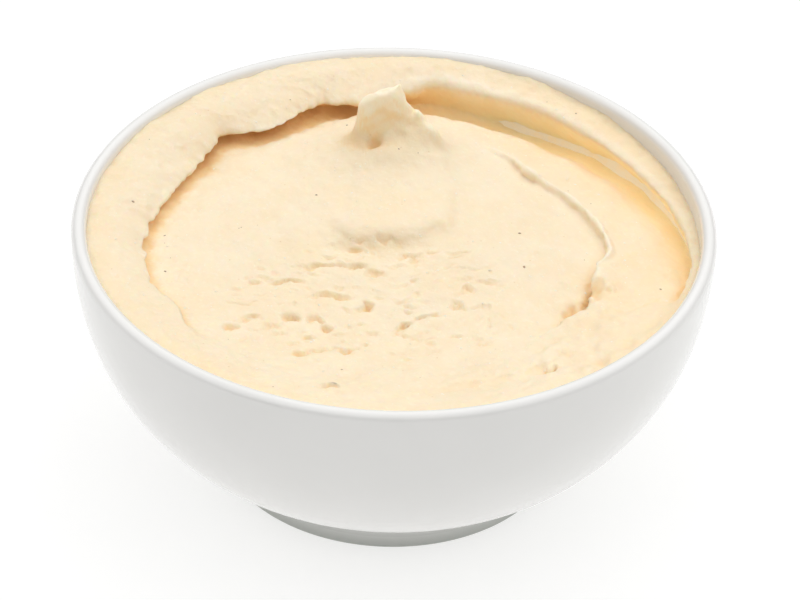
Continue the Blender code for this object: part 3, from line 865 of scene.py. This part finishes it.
def hummus_mesh():
    """Points and faces of the hummus, with its hollow, proud and glow shares at the points."""
    ring, turn, top = disc_net(RINGS)
    angle = turn - PEAK_CROWDING * np.sin(turn - np.pi / 2)
    angle = (angle + np.pi) % (2 * np.pi) - np.pi
    table = even_shares(RINGS)
    row = (angle + np.pi) / (2 * np.pi) * DIRECTIONS
    low = np.minimum(row.astype(int), DIRECTIONS - 1)
    share = table[low, ring] + (row - low) * (table[low + 1, ring] - table[low, ring])
    points = surface(angle, share)
    height, tear_shade_share = torn(points[:, 0], points[:, 1], np.concatenate([TEARS, small_tears()]))
    points[:, 2] += TEAR_DEPTH * height
    points += normals_of(points, top) * roughness_height(points)[:, None]
    hollow, proud = shade_and_light_shares(points, normals_of(points, top))
    # Painted shade also fills the tears and the cave at the peak's foot.
    cave_centre = (PEAK[0] + CAVE_SHADE_OFFSET[0], PEAK[1] + CAVE_SHADE_OFFSET[1])
    cave = mound(points[:, 0], points[:, 1], cave_centre, CAVE_SHADE_SIZE, 6, 5)
    hollow = np.maximum(hollow, np.maximum(0.5 * tear_shade_share, 0.4 * cave))
    around = SECTORS * RINGS
    sides = side_points(points[-around:])
    hollow = np.concatenate([hollow, np.zeros(len(sides))])
    proud = np.concatenate([proud, np.zeros(len(sides))])
    glow = np.concatenate([light_through(points), np.zeros(len(sides))])
    points = np.concatenate([points, sides])
    faces = np.concatenate([top, side_triangles(len(ring) - around, around)])
    return points, faces, hollow, proud, glow


print(f"The net has {SECTORS * RINGS} points round its edge.")

# %% [markdown]
# ## Finishes
# Each material takes its fine detail from a few shared node groups that read the piece's own
# coordinates: a soft mottle, a grain for bumps, and a mask of small specks. The same group with
# other sizes serves a glaze, a paste and a painted floor.


# %% Node helpers
def place(tree, kind, **values):
    """A node of a kind. Names set its settings, and names with a capital set its sockets."""
    made = tree.nodes.new("ShaderNode" + kind)
    for name, value in values.items():
        if name[0].isupper():
            made.inputs[name.replace("_", " ")].default_value = value
        else:
            setattr(made, name, value)
    return made


def new_group(name, inputs, outputs):
    """An empty node group with number sockets. Gives the tree, its input and its output node."""
    tree = bpy.data.node_groups.new(name, "ShaderNodeTree")
    for label, start in inputs.items():
        socket = tree.interface.new_socket(label, in_out="INPUT", socket_type="NodeSocketFloat")
        socket.default_value = start
    for label in outputs:
        tree.interface.new_socket(label, in_out="OUTPUT", socket_type="NodeSocketFloat")
    return tree, tree.nodes.new("NodeGroupInput"), tree.nodes.new("NodeGroupOutput")


def metres_to(tree, size_socket):
    """Object coordinates divided by a size in millimetres."""
    scale = place(tree, "Math", operation="DIVIDE")
    scale.inputs[0].default_value = 1 / MM
    tree.links.new(size_socket, scale.inputs[1])
    where = place(tree, "TexCoord")
    scaled = place(tree, "VectorMath", operation="SCALE")
    tree.links.new(where.outputs["Object"], scaled.inputs[0])
    tree.links.new(scale.outputs[0], scaled.inputs["Scale"])
    return scaled.outputs[0]


print("A size of 8 mm scales the coordinates by", 1 / (8 * MM))

# %% Shared groups
mottle_tree, mottle_in, mottle_out = new_group(
    "soft_mottle", {"Size": 8.0, "Detail": 3.0, "Low": 0.35, "High": 0.65}, ["Mask"]
)
mottle_noise = place(mottle_tree, "TexNoise", Scale=1.0, Roughness=0.55)
mottle_span = place(mottle_tree, "MapRange", interpolation_type="SMOOTHSTEP")
mottle_tree.links.new(metres_to(mottle_tree, mottle_in.outputs["Size"]), mottle_noise.inputs["Vector"])
mottle_tree.links.new(mottle_in.outputs["Detail"], mottle_noise.inputs["Detail"])
mottle_tree.links.new(mottle_noise.outputs["Fac"], mottle_span.inputs["Value"])
mottle_tree.links.new(mottle_in.outputs["Low"], mottle_span.inputs["From Min"])
mottle_tree.links.new(mottle_in.outputs["High"], mottle_span.inputs["From Max"])
mottle_tree.links.new(mottle_span.outputs["Result"], mottle_out.inputs["Mask"])

grain_tree, grain_in, grain_out = new_group(
    "grain_height", {"Coarse Size": 2.0, "Fine Size": 0.5, "Fine Share": 0.4}, ["Height"]
)
coarse = place(grain_tree, "TexNoise", Scale=1.0, Detail=2.0)
fine = place(grain_tree, "TexNoise", Scale=1.0, Detail=3.0, Roughness=0.6)
grain_mix = place(grain_tree, "Mix", data_type="FLOAT")
grain_tree.links.new(metres_to(grain_tree, grain_in.outputs["Coarse Size"]), coarse.inputs["Vector"])
grain_tree.links.new(metres_to(grain_tree, grain_in.outputs["Fine Size"]), fine.inputs["Vector"])
grain_tree.links.new(grain_in.outputs["Fine Share"], grain_mix.inputs["Factor"])
grain_tree.links.new(coarse.outputs["Fac"], grain_mix.inputs["A"])
grain_tree.links.new(fine.outputs["Fac"], grain_mix.inputs["B"])
grain_tree.links.new(grain_mix.outputs["Result"], grain_out.inputs["Height"])

speck_tree, speck_in, speck_out = new_group("speck_mask", {"Spacing": 2.0, "Radius": 0.2}, ["Mask"])
cells = place(speck_tree, "TexVoronoi", Scale=1.0, Randomness=1.0)
speck_span = place(speck_tree, "MapRange", interpolation_type="SMOOTHSTEP")
speck_tree.links.new(metres_to(speck_tree, speck_in.outputs["Spacing"]), cells.inputs["Vector"])
speck_tree.links.new(cells.outputs["Distance"], speck_span.inputs["Value"])
speck_tree.links.new(speck_in.outputs["Radius"], speck_span.inputs["From Max"])
speck_span.inputs["To Min"].default_value = 1.0
speck_span.inputs["To Max"].default_value = 0.0
speck_tree.links.new(speck_span.outputs["Result"], speck_out.inputs["Mask"])
print("Groups:", ", ".join(tree.name for tree in bpy.data.node_groups))


# %% Material helpers
def new_material(name, **sockets):
    """A material whose Principled shader has its constant values set on its own sockets."""
    made = bpy.data.materials.new(name)
    made.use_nodes = True
    shader = made.node_tree.nodes["Principled BSDF"]
    for label, value in sockets.items():
        shader.inputs[label.replace("_", " ")].default_value = value
    return made, made.node_tree, shader


def use_group(tree, name, **values):
    """The output of a shared group placed in a material with its own values."""
    made = place(tree, "Group", node_tree=bpy.data.node_groups[name])
    for label, value in values.items():
        made.inputs[label.replace("_", " ")].default_value = value
    return made.outputs[0]


def blend(tree, mask, first, second, strength=1.0):
    """A colour that goes from the first to the second as the mask times the strength grows."""
    mix = place(tree, "Mix", data_type="RGBA")
    if strength != 1.0:
        product = place(tree, "Math", operation="MULTIPLY")
        product.inputs[1].default_value = strength
        tree.links.new(mask, product.inputs[0])
        mask = product.outputs[0]
    tree.links.new(mask, mix.inputs["Factor"])
    for socket, colour in ((mix.inputs["A"], first), (mix.inputs["B"], second)):
        if isinstance(colour, tuple):
            socket.default_value = (*colour, 1.0)
        else:
            tree.links.new(colour, socket)
    return mix.outputs["Result"]


def between(tree, mask, low, high):
    """A number that goes from low to high with the mask."""
    span = place(tree, "MapRange", To_Min=low, To_Max=high)
    tree.links.new(mask, span.inputs["Value"])
    return span.outputs["Result"]


def bump(tree, height, shader, distance):
    """Bumps of a height in millimetres on a shader."""
    made = place(tree, "Bump", Distance=distance * MM, Strength=1.0)
    tree.links.new(height, made.inputs["Height"])
    tree.links.new(made.outputs["Normal"], shader.inputs["Normal"])


def attribute(tree, name):
    """The value that a piece stores at each point under a name."""
    return place(tree, "Attribute", attribute_name=name, attribute_type="GEOMETRY").outputs["Fac"]


# %% Hummus finish
CREAM = (0.955, 0.80, 0.585)
DEEP_CREAM = (0.94, 0.765, 0.53)
# Painted light: raised edges are made paler.
EDGE_LIGHT_CREAM = (1.0, 0.90, 0.74)
MEAL_CREAM = (0.99, 0.86, 0.68)
SKIN_PALE = (1.0, 0.93, 0.80)
SPICE_BROWN = (0.72, 0.47, 0.24)
# Painted shade colours, for grooves, undercuts, tears and the cave.
SHADE_TAN = (0.92, 0.59, 0.22)
DEEPEST_SHADE = (0.62, 0.27, 0.07)
# Painted light: the faint warm glow that stands in for light passing through the paste.
NO_LIGHT = (0.0, 0.0, 0.0)
PASSED_LIGHT = (0.145, 0.135, 0.068)
cream, cream_tree, cream_shader = new_material(
    "hummus_cream",
    Subsurface_Weight=0.35,
    Subsurface_Radius=(1.0, 0.5, 0.22),
    Subsurface_Scale=0.003,
    Specular_IOR_Level=0.35,
    Emission_Strength=1.0,
)
patches = use_group(cream_tree, "soft_mottle", Size=9, Detail=4)
meal = use_group(cream_tree, "soft_mottle", Size=1.1, Detail=3, Low=0.5, High=0.8)
pale_specks = use_group(cream_tree, "speck_mask", Spacing=1.5, Radius=0.16)
dark_specks = use_group(cream_tree, "speck_mask", Spacing=3.1, Radius=0.075)
tone = blend(cream_tree, patches, CREAM, DEEP_CREAM, 0.8)
tone = blend(cream_tree, meal, tone, MEAL_CREAM, 0.5)
tone = blend(cream_tree, pale_specks, tone, SKIN_PALE, 0.55)
tone = blend(cream_tree, dark_specks, tone, SPICE_BROWN, 0.6)
# Painted light: points that stand proud of their surroundings get a paler cream.
tone = blend(cream_tree, attribute(cream_tree, "proud"), tone, EDGE_LIGHT_CREAM, 0.5)
# Painted shade: the colour goes to tan, then to deep brown, where the hollow share is high.
depth = attribute(cream_tree, "hollow")
tone = blend(cream_tree, depth, tone, SHADE_TAN)
deepest = place(cream_tree, "MapRange", From_Min=0.55, From_Max=1.0, interpolation_type="SMOOTHSTEP")
cream_tree.links.new(depth, deepest.inputs["Value"])
tone = blend(cream_tree, deepest.outputs["Result"], tone, DEEPEST_SHADE, 0.6)
cream_tree.links.new(tone, cream_shader.inputs["Base Color"])
# Painted light: a faint warm glow under the far lip and in the peak.
glow = blend(cream_tree, attribute(cream_tree, "glow"), NO_LIGHT, PASSED_LIGHT)
cream_tree.links.new(glow, cream_shader.inputs["Emission Color"])
damp = use_group(cream_tree, "soft_mottle", Size=5, Detail=2, Low=0.3, High=0.7)
cream_tree.links.new(between(cream_tree, damp, 0.42, 0.58), cream_shader.inputs["Roughness"])
grain = use_group(cream_tree, "grain_height", Coarse_Size=1.6, Fine_Size=0.55, Fine_Share=0.5)
bump(cream_tree, grain, cream_shader, 0.22)
print("The cream is deepest in the hollows.")

# %% Fleck and crumb finishes
fleck_dark, fleck_tree, fleck_shader = new_material("dark_fleck", Specular_IOR_Level=0.3)
fleck_tone = use_group(fleck_tree, "soft_mottle", Size=2.2, Detail=2, Low=0.3, High=0.7)
fleck_colour = blend(fleck_tree, fleck_tone, (0.36, 0.25, 0.16), (0.52, 0.40, 0.27))
fleck_tree.links.new(fleck_colour, fleck_shader.inputs["Base Color"])
fleck_tree.links.new(between(fleck_tree, fleck_tone, 0.5, 0.7), fleck_shader.inputs["Roughness"])
bump(fleck_tree, use_group(fleck_tree, "grain_height", Coarse_Size=0.3, Fine_Size=0.1), fleck_shader, 0.03)

crumb_pale, crumb_tree, crumb_shader = new_material(
    "pale_crumb", Subsurface_Weight=0.3, Subsurface_Radius=(1.0, 0.55, 0.3), Subsurface_Scale=0.001
)
crumb_tone = use_group(crumb_tree, "soft_mottle", Size=3, Detail=2, Low=0.3, High=0.7)
crumb_colour = blend(crumb_tree, crumb_tone, (0.98, 0.84, 0.64), (1.0, 0.92, 0.78))
crumb_tree.links.new(crumb_colour, crumb_shader.inputs["Base Color"])
crumb_tree.links.new(between(crumb_tree, crumb_tone, 0.45, 0.6), crumb_shader.inputs["Roughness"])
bump(crumb_tree, use_group(crumb_tree, "grain_height", Coarse_Size=0.5, Fine_Size=0.15), crumb_shader, 0.04)
print("Flecks and crumbs share the groups.")

# %% Floor finish
floor_finish, floor_tree, floor_shader = new_material(
    "floor_white", Specular_IOR_Level=0.2, Emission_Color=(1.0, 1.0, 0.99, 1.0), Emission_Strength=0.64
)
floor_tone = use_group(floor_tree, "soft_mottle", Size=60, Detail=3)
floor_colour = blend(floor_tree, floor_tone, (0.395, 0.395, 0.395), (0.405, 0.405, 0.403))
floor_tree.links.new(floor_colour, floor_shader.inputs["Base Color"])
floor_tree.links.new(between(floor_tree, floor_tone, 0.86, 0.94), floor_shader.inputs["Roughness"])
floor_mesh.materials.append(floor_finish)
print("The floor is matt and glows a little, so it stays white.")

# %% Porcelain finish
GLAZE = (0.87, 0.862, 0.842)
GLAZE_CLOUD = (0.855, 0.847, 0.826)
# The foot's colour: bare porcelain, darkened further as painted shade from the bowl above.
BARE_AND_SHADED_FOOT = (0.50, 0.515, 0.48)
SMEAR = (0.95, 0.82, 0.62)
# Painted light for the glow of the smeared wall.
WALL_LIGHT = (0.15, 0.13, 0.09)
porcelain, porcelain_tree, porcelain_shader = new_material(
    "white_porcelain", Coat_Weight=0.25, Coat_Roughness=0.04, Emission_Strength=1.0
)
clouds = use_group(porcelain_tree, "soft_mottle", Size=22, Detail=2)
glaze = blend(porcelain_tree, clouds, GLAZE, GLAZE_CLOUD)
smear = place(porcelain_tree, "Math", operation="MULTIPLY")
porcelain_tree.links.new(attribute(porcelain_tree, "smeared"), smear.inputs[0])
porcelain_tree.links.new(
    use_group(porcelain_tree, "soft_mottle", Size=3.4, Detail=5, Low=0.45, High=0.7), smear.inputs[1]
)
glaze = blend(porcelain_tree, smear.outputs[0], glaze, SMEAR, 0.6)
# Below the neck the foot is bare porcelain, rougher than the glaze, and its colour is darkened further as
# painted shade.
foot_share = attribute(porcelain_tree, "bare_and_shaded_foot")
glaze = blend(porcelain_tree, foot_share, glaze, BARE_AND_SHADED_FOOT)
porcelain_tree.links.new(glaze, porcelain_shader.inputs["Base Color"])
# Painted light: the smeared wall band under the far lip glows warm, as if lit through the paste.
glow = blend(porcelain_tree, attribute(porcelain_tree, "glow"), NO_LIGHT, WALL_LIGHT)
porcelain_tree.links.new(glow, porcelain_shader.inputs["Emission Color"])
gloss = place(porcelain_tree, "Math", operation="MAXIMUM")
porcelain_tree.links.new(between(porcelain_tree, foot_share, 0.0, 0.5), gloss.inputs[0])
shine = use_group(porcelain_tree, "soft_mottle", Size=14, Detail=3)
porcelain_tree.links.new(between(porcelain_tree, shine, 0.09, 0.16), gloss.inputs[1])
porcelain_tree.links.new(gloss.outputs[0], porcelain_shader.inputs["Roughness"])
bump(
    porcelain_tree,
    use_group(porcelain_tree, "grain_height", Coarse_Size=16, Fine_Size=2.5, Fine_Share=0.15),
    porcelain_shader,
    0.12,
)
print("The porcelain is glazed down to the foot.")

bowl_points, bowl_faces = turned(bowl_section(), BOWL_SEGMENTS)
bowl = new_piece("porcelain_bowl", bowl_points, bowl_faces, porcelain)
hummus_points, hummus_faces, hummus_painted_shade, hummus_edge_light, hummus_glow = hummus_mesh()
hummus = new_piece("hummus_swirl", hummus_points, hummus_faces, cream)
bowl_reach = np.hypot(bowl_points[:, 0], bowl_points[:, 1])
inner = (bowl_points[:, 2] > INSIDE_FLOOR_Z - 1) & (bowl_reach < inside_wall(bowl_points[:, 2]) + 0.5)
on_wall = ease(bowl_points[:, 2], 34, 36) * (1 - ease(bowl_points[:, 2], 44, WIDEST_Z))
add_attribute(bowl, "smeared", inner * on_wall)
add_attribute(bowl, "bare_and_shaded_foot", 1 - ease(bowl_points[:, 2], FOOT_NECK_Z - 1.2, FOOT_NECK_Z - 0.4))
add_attribute(bowl, "glow", inner * on_wall * light_through(bowl_points))
add_attribute(hummus, "glow", hummus_glow)
add_attribute(hummus, "hollow", hummus_painted_shade)
add_attribute(hummus, "proud", hummus_edge_light)
for piece, node in ((bowl, "bowl"), (hummus, "hummus")):
    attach(piece, "root")
    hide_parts(node)

# %% [markdown]
# ## Flecks and crumbs
# Bits of chickpea skin and spice leave dark flecks, and a little of the chickpea stays whole as
# pale crumbs. Each is a small eight-sided lump, divided once and pushed out of round. They
# could be instances, but all of a kind are joined into one mesh here, which costs little.

# %% Small lumps
LUMP_CORNERS = np.array([(1, 0, 0), (0, 1, 0), (-1, 0, 0), (0, -1, 0), (0, 0, 1), (0, 0, -1)], float)
LUMP_FACES = np.array(
    [(0, 1, 4), (1, 2, 4), (2, 3, 4), (3, 0, 4), (1, 0, 5), (2, 1, 5), (3, 2, 5), (0, 3, 5)]
)


def divided_lump():
    """Points and faces of an octahedron with each face cut in four, pushed out to a sphere."""
    sides = np.concatenate([LUMP_FACES[:, pair] for pair in ([0, 1], [1, 2], [2, 0])])
    kinds, index = np.unique(np.sort(sides, axis=1), axis=0, return_inverse=True)
    middles = LUMP_CORNERS[kinds].mean(axis=1)
    middles /= np.linalg.norm(middles, axis=1)[:, None]
    ab, bc, ca = index.reshape(3, -1) + len(LUMP_CORNERS)
    a, b, c = LUMP_FACES.T
    quarters = ((a, ab, ca), (ab, b, bc), (ca, bc, c), (ab, bc, ca))
    faces = np.concatenate([np.stack(rows, axis=-1) for rows in quarters])
    return np.concatenate([LUMP_CORNERS, middles]), faces


def scatter_lumps(name, ground, ground_normals, chosen, sizes, sunk, seed, finish):
    """One joined mesh of lumps that lie flat on the ground at the chosen points.

    A lump's points are size x sphere, turned about its normal: place + normal x (h - sunk)
    + x along one level way + y along the other. sizes holds length, width and thickness.
    """
    sphere, faces = divided_lump()
    draw = np.random.default_rng(seed)
    count = len(chosen)
    shape = sphere[None] * draw.uniform(0.75, 1.2, (count, len(sphere), 1)) * sizes[:, None, :]
    turn = draw.uniform(0, 2 * np.pi, count)
    normal = ground_normals[chosen]
    level = np.cross(normal, np.stack([np.cos(turn), np.sin(turn), np.zeros(count)], -1))
    level /= np.linalg.norm(level, axis=1)[:, None]
    across = np.cross(normal, level)
    points = (
        ground[chosen][:, None]
        + shape[..., 0:1] * level[:, None]
        + shape[..., 1:2] * across[:, None]
        + (shape[..., 2:3] - sunk * sizes[:, None, 2:3]) * normal[:, None]
    )
    all_faces = faces[None] + (np.arange(count) * len(sphere))[:, None, None]
    return new_piece(name, points.reshape(-1, 3), all_faces.reshape(-1, 3), finish)


def nearest_to(places, ground):
    """For each place, the number of the ground point nearest to it in plan, with higher points a little
    preferred.
    """
    gap = np.hypot(ground[None, :, 0] - places[:, :1], ground[None, :, 1] - places[:, 1:])
    return np.argmin(gap - 0.2 * ground[None, :, 2], axis=1)


# %% Dark flecks
BIG_FLECKS = np.array([
    (-9.9, 37.0), (-15.0, 10.6), (-49.0, 4.7), (-42.8, -0.2), (-42.0, -11.7), (23.9, -9.1),
    (23.5, 1.0), (35.0, 40.5), (49.2, -11.9), (-8.8, -41.0),
])
SEEDED_FLECKS = 18
BIG_LENGTH = (0.30, 0.44)
SEEDED_LENGTH = (0.10, 0.22)
FLECK_SHAPE = np.array([1.0, 0.7, 0.4])
draw = np.random.default_rng(21)
ground_normals = normals_of(hummus_points, hummus_faces)
top_count = 1 + 3 * RINGS * (RINGS + 1)
open_ground = np.flatnonzero(
    (ground_normals[:top_count, 2] > 0.8)
    & (hummus_painted_shade[:top_count] < 0.3)
    & (np.hypot(hummus_points[:top_count, 0], hummus_points[:top_count, 1]) < 54)
)
big_places = nearest_to(BIG_FLECKS, hummus_points[:top_count])
fleck_places = np.concatenate([big_places, draw.choice(open_ground, SEEDED_FLECKS)])
big_lengths = draw.uniform(*BIG_LENGTH, len(BIG_FLECKS))
fleck_lengths = np.concatenate([big_lengths, draw.uniform(*SEEDED_LENGTH, SEEDED_FLECKS)])
fleck_sizes = fleck_lengths[:, None] * FLECK_SHAPE
flecks = scatter_lumps(
    "dark_flecks", hummus_points, ground_normals, fleck_places, fleck_sizes, 0.3, 22, fleck_dark
)

# %% Pale crumbs
CRUMBS = 420
CRUMB_LENGTH = (0.14, 0.36)
CRUMB_SHAPE = np.array([1.0, 0.8, 0.55])
crumb_places = draw.choice(open_ground, CRUMBS)
crumb_sizes = draw.uniform(*CRUMB_LENGTH, CRUMBS)[:, None] * CRUMB_SHAPE
crumbs = scatter_lumps(
    "pale_crumbs", hummus_points, ground_normals, crumb_places, crumb_sizes, 0.45, 23, crumb_pale
)
for piece in (flecks, crumbs):
    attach(piece, "root")
